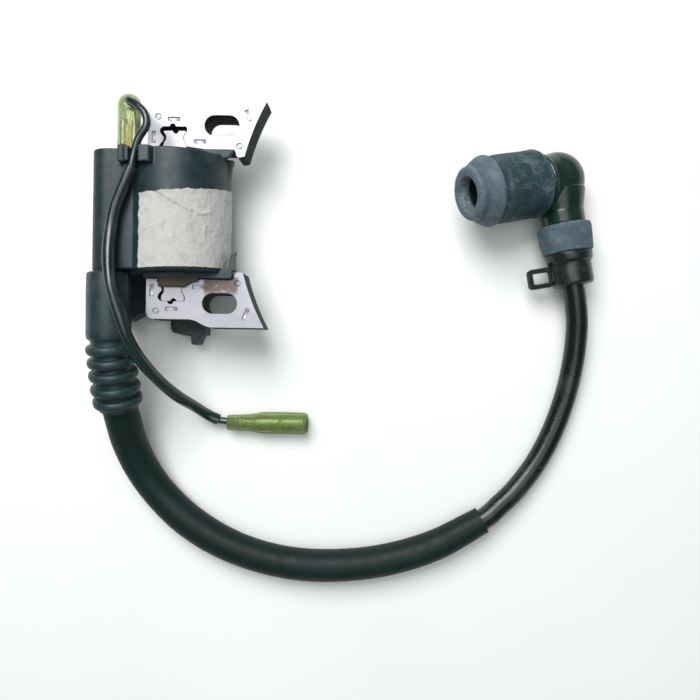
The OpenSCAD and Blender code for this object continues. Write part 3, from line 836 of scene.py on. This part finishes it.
def draw_housing(work):
    """Barrel, tower with its spigot, flange, wire clip, and the skirt behind the lower leg."""
    y0, y1 = BARREL_Y
    add_rod(work, *along_y(BARREL, y0, y1), BARREL_R, sides=160)
    add_rod(work, *along_y(TOWER, y0, y1), TOWER_R, sides=96)
    add_rod(work, *along_y(TOWER, SPIGOT_END, y0 + 1), 5)
    # Flat top and side walls between the tower and the barrel, with the dark groove beside them.
    add_box(work, (TOWER[0], y0, 5), (-25.7, y1, TOWER_TOP))
    add_box(work, (WEB_X, y0, BENCH_Z), (-20, -15.5, TOWER[1]))
    # Upper flange against the core, with its lip over the core's edge.
    add_box(work, (PLATE_X, y1 - 1, PLATE_Z[0]), (-1.5, PLATE_Y, PLATE_Z[1]))
    lip = [(-2.5, 17.5), (2.4, 17.5), (3.4, 18.4), (4.2, 19.6), (4.2, PLATE_Y), (-2.5, PLATE_Y)]
    add_prism(work, lip, *LIP_Z)
    add_prism(work, [(0, 9), (1.5, 9), (1.9, 13), (2.5, 16.5), (3.2, 18.4), (0, 18.4)], 3.5, 6.5)
    # Wire clip: a block with a thin prong, and a taller block.
    add_box(work, (-28.9, CLIP_Y, 15), (-26.5, y1, 22.2))
    add_box(work, (-26.7, CLIP_Y + 0.2, 15), (-25.5, y1 - 0.3, 22.6))
    add_prism(work, [(-22.8, 15), (-18.6, 15), (-18.6, 21.6), (-19.3, 22.6), (-22.4, 22.8), (-22.8, 22.2)],
              CLIP_Y, y1, Matrix(((1, 0, 0, 0), (0, 0, 1, 0), (0, 1, 0, 0), (0, 0, 0, 1))))
    # Skirt behind the lower leg, with its locating nub.
    skirt = [(WEB_X, -15.6), (WEB_X, -31), (WEB_X + 1.6, -33.4), (-34, -33.4), (-30, -31), (-20, -31),
             (-20, -35.8), (-19.2, -37.2), (-17, -37.7), (-15, -38.2), (-8, -38), (-8, -33), (-9, -15.6)]
    add_prism(work, skirt, BENCH_Z, -5.4)
    nub = rounded([(-13, -36), (-13, -41.3), (-10.5, -41.3), (-9.9, -38.6), (-8, -37)], 1.1)
    add_prism(work, nub, BENCH_Z, -5.4)


housing_mesh = carve(melt(draw_housing, "housing_shell", 0.32, 5), [
    rod_cutter(along_y(BARREL, -20, 16.2), BARREL_R - WALL, sides=96),
    box_cutter((-20, 14, -1.3), (-10, 24, 11.3)),
    rod_cutter(along_y(TOWER, -36, -9.5), LEAD_R + 0.2),
    box_cutter((BLADE[0] - 3.1, 16.3, BLADE[1] - 0.55), (BLADE[0] + 3.1, 30, BLADE[1] + 0.55))])
link("housing_shell", crisp(housing_mesh), "housing_plastic", "coil", ["housing"])


def draw_cover(work):
    """End cover: a disc inside the barrel, the plate against the lower leg, and its hook."""
    add_rod(work, *along_y(BARREL, -18.6, -17.3), BARREL_R - WALL - 0.1, sides=128)
    add_box(work, (PLATE_X, -PLATE_Y, PLATE_Z[0]), (3.9, -18.75, PLATE_Z[1]))
    lip = rounded([(0, -PLATE_Y), (4.2, -PLATE_Y), (4.2, -17.5), (0, -17.5)], 0.9)
    add_prism(work, lip, *LIP_Z)
    add_rod(work, *along_y(BARREL, -18.8, -18.4), 14.5, sides=128)
    # Hook that grips the core's shoe.
    add_box(work, (3.1, -PLATE_Y, 7), (3.9, -12.2, 10))
    add_prism(work, [(3.1, -18.2), (3.1, -14), (3.5, -13.7), (4.1, -13.5), (4.6, -12.3), (5.1, -11.9),
                     (5.3, -12.3), (5.0, -14.5), (5.1, -17.2), (5.3, -18.2)], 9, 11.5)


cover_mesh = carve(melt(draw_cover, "housing_cover", 0.25, 3), [
    box_cutter((-20, -24, -1.3), (-10, -14, 11.3))])
link("housing_cover", crisp(cover_mesh), "housing_plastic", "coil", ["end_cover"])


def draw_bobbin(work):
    """Primary bobbin: tube, two flanges, the square neck around the bar and its flap on the core's front."""
    add_rod(work, *along_y(BARREL, -16, 16), 7.5)
    for y in (-16, 15):
        add_rod(work, *along_y(BARREL, y, y + 1), 10.1)
    add_box(work, (-19.9, -20.6, -1.2), (-10.1, 20.6, 11.2))
    flap = [(-19.5, -20), (-19.5, -23.3), (-11, -23.3), (-9.5, -22.2), (-6.6, -21.3), (-6.6, -20)]
    add_prism(work, rounded(flap, 0.4), 10.15, 11.2)


bobbin_mesh = carve(melt(draw_bobbin, "bobbin", 0.25, 2), [
    box_cutter((-18.85, -25, -0.15), (-11.15, 25, 10.14))])
link("bobbin", crisp(bobbin_mesh), "bobbin_plastic", "coil", ["primary_bobbin"])

# ---- label ----

# Folds in the paper: two ends, each as (degrees around the barrel, distance along it), and a height.
CREASES = [((98, 5.2), (78, 1.6), 0.3), ((78, 1.6), (62, -0.5), 0.26), ((62, -0.5), (46, -1.4), 0.22),
           ((94, 2.5), (104, 0.9), -0.25), ((104, 0.9), (115, -0.5), -0.2), ((51, -3), (46, -5.1), 0.2),
           ((46, -5.1), (47, -9.3), 0.16), ((58, -1.9), (39, -0.4), 0.18)]


def crease_height(degrees, y):
    """Height of the folds at a place on the label."""
    here = Vector((radians(degrees) * BARREL_R, y))
    total = 0
    for (a0, y0), (a1, y1), height in CREASES:
        start = Vector((radians(a0) * BARREL_R, y0))
        run = Vector((radians(a1) * BARREL_R, y1)) - start
        t = min(1, max(0, (here - start).dot(run) / run.length_squared))
        total += height * exp(-((here - start - run * t).length / 0.45) ** 2)
    return total


def label_mesh():
    """Creased paper wrapped on the barrel, torn along its upper and left edges."""
    columns, rows = 220, 100
    angle0, angle1 = radians(-25), radians(117.5)
    work = bmesh.new()
    sheets = []
    for layer in (0.03, 0.16):
        grid = []
        for i in range(columns + 1):
            u = i / columns
            angle = angle0 + (angle1 - angle0) * u
            ragged = ripple(u * 18, 0, 0) * 0.5 + ripple(u * 70, 3, 0) * 0.25
            top = 4.3 + 5.3 * (1 - u) ** 1.25 + ragged
            bottom = -18.5 + 1.9 * (1 - u) ** 1.2 + 0.12 * ripple(u * 30, 9, 0)
            line = []
            for j in range(rows + 1):
                v = j / rows
                y = bottom + (top - bottom) * v
                wave = 0.18 * ripple(u * 14, v * 7, 1)
                wave += 0.1 * ripple(u * 40, v * 22, 5)
                curl = 0.4 + ripple(u * 11, 4, 4)
                curled = 0.35 * max(0, v - 0.93) / 0.07 * curl
                lift = 0.12 + wave + crease_height(angle * 180 / pi, y) + curled
                edge = angle + 0.045 * ripple(v * 9, 2, 2) * u ** 4
                r = BARREL_R + max(0.04, lift) + layer
                x = BARREL[0] + r * cos(edge)
                line.append(work.verts.new((x, y, BARREL[1] + r * sin(edge))))
            grid.append(line)
        sheets.append(grid)
    for grid in sheets:
        for i in range(columns):
            for j in range(rows):
                work.faces.new((grid[i][j], grid[i + 1][j], grid[i + 1][j + 1], grid[i][j + 1]))
    border = ([(i, 0) for i in range(columns)] + [(columns, j) for j in range(rows)]
              + [(i, rows) for i in range(columns, 0, -1)] + [(0, j) for j in range(rows, 0, -1)])
    for (a, b), (c, d) in zip(border, border[1:] + border[:1]):
        work.faces.new((sheets[0][a][b], sheets[0][c][d], sheets[1][c][d], sheets[1][a][b]))
    return crisp(to_mesh(work, "paper_label"), 60)


link("paper_label", label_mesh(), "label_paper", "coil", ["label"])

# ---- lead boot ----

RIBS = [(43.2, 7.5), (47.2, 7.6), (51.2, 7.7), (55.6, 7.8), (59.6, 7.8)]


def boot_centre(y):
    """Centre of the boot at a distance from the slots' middle: straight, then drooping."""
    return Vector((TOWER[0] + 0.045 * max(0, y - 40), -y, 12.8 - 0.0834 * max(0, y - 38) ** 1.395))


def boot_mesh():
    """Collar, neck and five round ribs outside; the spigot's, lead's and tubing's bores inside."""
    outer = [(19.5, 6.2), (19.7, 6.5), (20.2, 6.7), (26, 6.75), (32, 6.7), (38.5, 6.7), (39.6, 6.6),
             (40.1, 6.3), (40.4, 5.9), (40.8, 5.75), (41.6, 5.8), (42.2, 6.0)]
    for y, r in RIBS:
        valley = r - 1.7
        for step in range(9):
            angle = radians(-90 + 22.5 * step)
            swell = max(0, cos(angle)) ** 0.6
            outer.append((y + 1.45 * sin(angle), valley + (r - valley) * swell))
        if y < 59:
            outer.append((y + 1.95, valley - 0.05))
    outer += [(61.4, 6.3), (61.8, 6.35), (62, 6.25)]
    inner = [(61.9, 6.05), (57.6, 6.0), (56.8, 4.4), (34.6, 4.4), (34.3, 5.1), (19.5, 5.1)]
    work = bmesh.new()
    loops = []
    sides = 96
    for y, r in outer + inner:
        along = (boot_centre(y + 0.5) - boot_centre(y - 0.5)).normalized()
        side = along.cross(Vector((0, 0, 1))).normalized()
        up = side.cross(along)
        loop = []
        for k in range(sides):
            angle = 2 * pi * k / sides
            size = r
            if r > 6.15 and y < 40.2:
                # Mould ridges along the collar, on its left and right.
                for where in (2.75, 0.35):
                    size += 0.35 * exp(-((angle - where) / 0.05) ** 2)
            size += 0.05 * skin_noise(3, angle, y / 3)
            loop.append(boot_centre(y) + (side * cos(angle) + up * sin(angle)) * size)
        loops.append(loop)
    add_loops(work, loops, closed=True)
    return crisp(to_mesh(work, "bellows_boot"), 50)


link("bellows_boot", boot_mesh(), "boot_rubber", "coil", ["lead_boot"])

# ---- stop terminal ----


def draw_flag(work):
    """Flag terminal: body with rolled sides, a neck, and the crimped barrel the wire turns up into."""
    x, z = BLADE
    add_box(work, (x - 2.7, 20.4, z - 1.15), (x + 2.7, 28.4, z - 0.5))
    add_box(work, (x - 2.1, 20.6, z + 0.45), (x - 1.3, 28.2, z + 1.15))
    add_box(work, (x + 1.3, 20.6, z + 0.45), (x + 2.1, 28.2, z + 1.15))
    for side in (-1, 1):
        add_rod(work, (x + side * 1.9, 20.4, z), (x + side * 1.9, 28.4, z), 1.05, sides=32)
    add_box(work, (x - 1.6, 28, z - 1.15), (x + 1.6, 32, z - 0.5))
    add_rod(work, (x + 0.3, 33.6, z - 1.15), (x + 0.3, 33.6, z + 1.6), 1.85, sides=48)
    add_rod(work, (x + 0.3, 33.6, z + 0.1), (x + 0.3, 33.6, z + 0.6), 2.05, sides=48)


blade_way = box_cutter((BLADE[0] - 3.2, 19, BLADE[1] - 0.45), (BLADE[0] + 3.2, 27.1, BLADE[1] + 0.45))
link("stop_flag", crisp(carve(melt(draw_flag, "stop_flag", 0.16, 2), [blade_way])),
     "terminal_steel", "coil", ["flag_terminal"])


def draw_blade(work):
    x, z = BLADE
    outline = [(x - 2.9, 16.4), (x + 2.9, 16.4), (x + 2.9, 26), (x + 2, 27), (x - 2, 27), (x - 2.9, 26)]
    add_prism(work, rounded(outline, 0.2), z - 0.4, z + 0.4)


def simple_mesh(draw, name):
    work = bmesh.new()
    draw(work)
    return crisp(to_mesh(work, name))


link("stop_tab", simple_mesh(draw_blade, "stop_tab"), "terminal_brass", "coil", ["stop_blade"])


def sock_outline():
    """Soft sleeve with a round closed end, as an outline of distance along and radius."""
    def dome(radius):
        return [(14.25 + radius * sin(radians(a)), radius * cos(radians(a)))
                for a in range(0, 86, 6)]
    outer = [(0, 3.3), (0.15, 3.5), (0.5, 3.58), (6, 3.5), (11, 3.55)] + dome(3.55) + [(17.8, 0.05)]
    return outer + [(17.3, 0.05)] + dome(3.07)[::-1] + [(0, 3.08)]


UPWARD = Matrix.Translation((BLADE[0], 18.6, BLADE[1])) @ Matrix.Rotation(-QUARTER, 4, "X")
sock = lathe("stop_sock", sock_outline(), UPWARD, 64, lambda t, r, a: 0.05 * skin_noise(1.5, a, t / 4))
sock = carve(sock, [rod_cutter(((-27.0, 33.3, 15), (-27.2, 33.4, 25)), 1.7)])
link("stop_sock", crisp(sock), "green_vinyl", "coil", ["terminal_sleeve"])

# ---- bullet connector ----


def draw_bullet(work):
    """Receptacle: socket barrel with its stop dimples, a waist, the wire crimp and the jacket crimp."""
    add_rod(work, *along_x(BULLET, 9, 25.2), 2.6)
    add_rod(work, *along_x(BULLET, 24.5, 25.2), 2.75)
    add_rod(work, *along_x(BULLET, 8.6, 10.2), 1.9, 2.7)
    add_rod(work, *along_x(BULLET, 3.1, 9), 1.9, sides=48)
    for x, r in ((3.6, 2.05), (4.8, 2.05), (6.6, 1.98), (7.8, 1.98)):
        add_rod(work, *along_x(BULLET, x, x + 0.7), r, sides=48)


def add_stop_dimple(work):
    add_ball(work, (17.4, BULLET[0] + 0.9, BULLET[1] + 2.6), 0.75)


bullet_mesh = carve(melt(draw_bullet, "bullet_socket", 0.14, 2), [
    rod_cutter(along_x(BULLET, 12, 27), 2.0),
    add_stop_dimple,
    box_cutter((5.6, BULLET[0] - 0.35, BULLET[1] + 0.9), (6.4, BULLET[0] + 0.35, BULLET[1] + 4))])
link("bullet_socket", crisp(bullet_mesh), "terminal_steel", "coil", ["bullet_receptacle"])


def bullet_sleeve_outline():
    """Clear sleeve: slim over the crimps, flared over the socket, as (distance along, radius)."""
    outer = [(-0.8, 2.1), (-0.7, 2.4), (-0.3, 2.62), (2, 2.72), (6.5, 2.85), (8.8, 3.2), (10.4, 3.6),
             (12.2, 3.78), (18, 3.78), (24, 3.76), (25.4, 3.7), (26.2, 3.5), (26.6, 3.25), (26.7, 3.05)]
    inner = [(26.65, 2.92), (24, 2.9), (9.4, 2.9), (8.6, 2.5), (8.0, 2.2), (2.8, 2.15), (2.4, 1.95),
             (-0.8, 1.95)]
    return outer + inner


ALONG_X = Matrix.Translation((0, *BULLET)) @ Matrix.Rotation(QUARTER, 4, "Y")
link("bullet_cover_skin", lathe("bullet_cover_skin", bullet_sleeve_outline(), ALONG_X, 72,
                                lambda t, r, a: 0.1 * skin_noise(1.2, a, t / 5 + 7)),
     "bullet_vinyl", "bullet_cover", ["bullet_sleeve"])

# ---- plug cap ----


def draw_elbow(work):
    """Glossy elbow: a round knee, the lead's tube, the nose's tube, a seam ring and a raised pad."""
    add_ball(work, CAP_AT, 9.3)
    add_rod(work, *on_axis(LEG, -1, 30), 6.4)
    add_rod(work, *on_axis(LEG, 4, 12), 9.0, 7.0)
    add_rod(work, *on_axis(LEG, 11, 15.3), 7.4)
    add_rod(work, *on_axis(NOSE, 0, 28), 9.0)
    add_rod(work, *on_axis(NOSE, 6.2, 7.2), 9.45)


def add_oval_recess(work):
    """Shallow oval left by the mould on the front of the elbow."""
    place = (Matrix.Translation((112.0, 12.9, 6.9)) @ Matrix.Rotation(CAP_YAW, 4, "Z")
             @ Matrix.Diagonal((1.9, 1.25, 0.9, 1)))
    bmesh.ops.create_uvsphere(work, u_segments=32, v_segments=20, radius=1, matrix=place)


# The bores for the terminal, the resistor, the lead and the screw, then the recess.
elbow_mesh = carve(melt(draw_elbow, "cap_elbow", 0.25, 5), [
    rod_cutter(on_axis(NOSE, 17, 30), 6.2),
    rod_cutter(on_axis(NOSE, 3.8, 18), 2.5),
    rod_cutter(on_axis(LEG, 13.3, 32), LEAD_R + 0.25),
    rod_cutter(on_axis(LEG, 4.5, 14), 1.3),
    add_oval_recess])
link("cap_elbow", crisp(elbow_mesh), "cap_plastic", "plug_cap", ["cap_body"])


# Rubber of the nose, as (distance along, radius): rolled rim, body, bead, face and mouth; then its bores.
NOSE_SKIN = [(8.9, 9.4), (8.85, 10.2), (9.1, 10.8), (9.7, 11.15), (10.5, 11.15), (11.8, 11.0), (15, 10.95),
             (19, 11.0), (23, 11.0), (25, 10.9), (26.2, 10.6), (27, 10.55), (27.7, 10.9), (28.3, 11.3),
             (28.9, 11.35), (29.5, 11.15), (30.2, 10.75), (31.0, 10.3), (31.7, 9.7), (32.2, 9.0),
             (32.6, 8.7), (33.4, 8.7), (34.4, 8.6), (35.0, 8.2), (35.3, 7.5), (35.3, 6.4), (35.0, 5.6),
             (34.3, 5.25)]
NOSE_BORES = [(28.2, 5.2), (28.1, 9.1), (9.0, 9.1)]


def nose_wobble(along, radius, angle):
    """Slight swelling, and shallow creases behind the bead on the underside."""
    swell = 0.12 * skin_noise(1.5, angle, along / 6)
    under = max(0, cos(angle - pi)) if radius > 9.5 else 0
    crease = -0.25 * under * exp(-((along - 26.6) / 0.7) ** 2)
    return (swell + crease) if radius > 9.2 or radius < 6.5 else 0


def doubled(outline):
    """Catmull-Rom subdivision of an outline."""
    flat = smooth_route([(a, r, 0) for a, r in outline], 3)
    return [(p.x, p.y) for p in flat]


link("cap_nose", lathe("cap_nose", doubled(NOSE_SKIN) + NOSE_BORES, NOSE, 128, nose_wobble),
     "cap_rubber", "plug_cap", ["nose_boot"])

COLLAR_SKIN = [(15.4, 8.1), (15.5, 8.6), (16, 8.85), (16.8, 8.95), (18, 8.9), (21, 8.75), (23.8, 8.5),
               (24.4, 8.35), (24.7, 8.0)]
COLLAR_BORE = [(24.75, 6.55), (15.4, 6.55)]
link("cap_shroud", lathe("cap_shroud", doubled(COLLAR_SKIN) + COLLAR_BORE, LEG, 112,
                         lambda t, r, a: 0.06 * skin_noise(1, a, t / 4)),
     "collar_rubber", "plug_cap", ["cap_collar"])

SEAL_SKIN = [(24.85, 7.7), (25.1, 7.95), (25.8, 7.95), (27.2, 7.75), (27.9, 7.45), (28.3, 7.1), (29, 6.98),
             (31, 7.02), (34.2, 7.0), (35.2, 6.8), (35.7, 6.3), (35.8, 5.4)]
SEAL_BORE = [(35.8, 3.9), (30.2, 3.9), (30.2, 6.55), (24.85, 6.55)]
link("cap_seal", lathe("cap_seal", doubled(SEAL_SKIN) + SEAL_BORE, LEG, 96), "seal_rubber", "plug_cap")


def draw_tab(work):
    """Windowed tab of the seal, with its pin head."""
    frame_out = rounded([(-14.6, -35), (-6.2, -35), (-6.2, -28.4), (-14.6, -28.4)], 1.4, 6)
    frame_in = rounded([(-13.1, -33.6), (-7.4, -33.6), (-7.4, -29.8), (-13.1, -29.8)], 0.6, 6)
    rings = []
    for outline, z in ((frame_out, -2.2), (frame_out, 0.8), (frame_in, 0.9), (frame_in, -2.2)):
        rings.append([CAP @ Vector((p.x, p.y, z)) for p in outline])
    add_loops(work, rings, closed=True)
    add_rod(work, CAP @ Vector((2.2, -31.6, 6.0)), CAP @ Vector((2.2, -31.6, 7.25)), 1.15, 1.0, sides=32)


link("cap_tab", simple_mesh(draw_tab, "cap_tab"), "tab_rubber", "plug_cap", ["cap_end_seal"])

# ---- everything else keeps its CAD shape ----

KEPT = {
    "primary_winding": "winding_copper", "secondary_bobbin": "dark_plastic",
    "secondary_winding": "winding_copper", "potting": "potting_resin", "trigger_module": "dark_plastic",
    "ht_spike": "terminal_brass", "cap_contact_screw": "terminal_brass", "cap_resistor": "resistor_ceramic",
    "cap_spring": "terminal_steel", "plug_terminal": "terminal_brass",
}
for node_name, slot in KEPT.items():
    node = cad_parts[node_name]
    node.data.materials.clear()
    node.data.materials.append(FINISHES[slot])

bpy.ops.mesh.primitive_plane_add(size=3, location=(0.04, -0.03, (BENCH_Z - 0.1) * MM))
floor = bpy.context.object
floor.name = "floor"
floor.data.materials.append(floor_finish())
